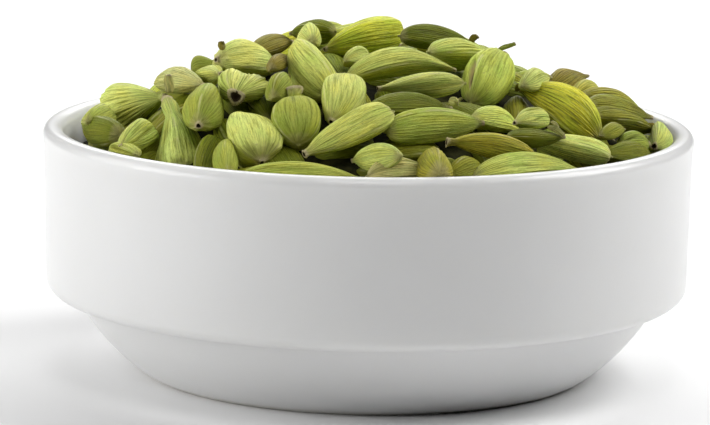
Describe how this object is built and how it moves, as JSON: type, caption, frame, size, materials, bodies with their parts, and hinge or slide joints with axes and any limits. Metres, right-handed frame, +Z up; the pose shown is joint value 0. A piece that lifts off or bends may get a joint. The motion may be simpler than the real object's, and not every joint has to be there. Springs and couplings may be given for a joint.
{
  "type": "dish of cardamom pods",
  "caption": "Round white glazed stacking bowl with a straight wall and stepped-in base, heaped above its rim with dried green cardamom pods.",
  "frame": {"origin": "middle of the foot ring, on the surface that the bowl stands on", "axes": "+Z up along the bowl's axis; the front, with the placed pods, looks towards -Y"},
  "size_m": [0.12, 0.12, 0.0657],
  "materials": {
    "glaze": "gloss",
    "husk": "matte"
  },
  "bodies": {
    "root": {"bowl": "glaze", "cardamom_pods": "husk"}
  },
  "joints": []
}
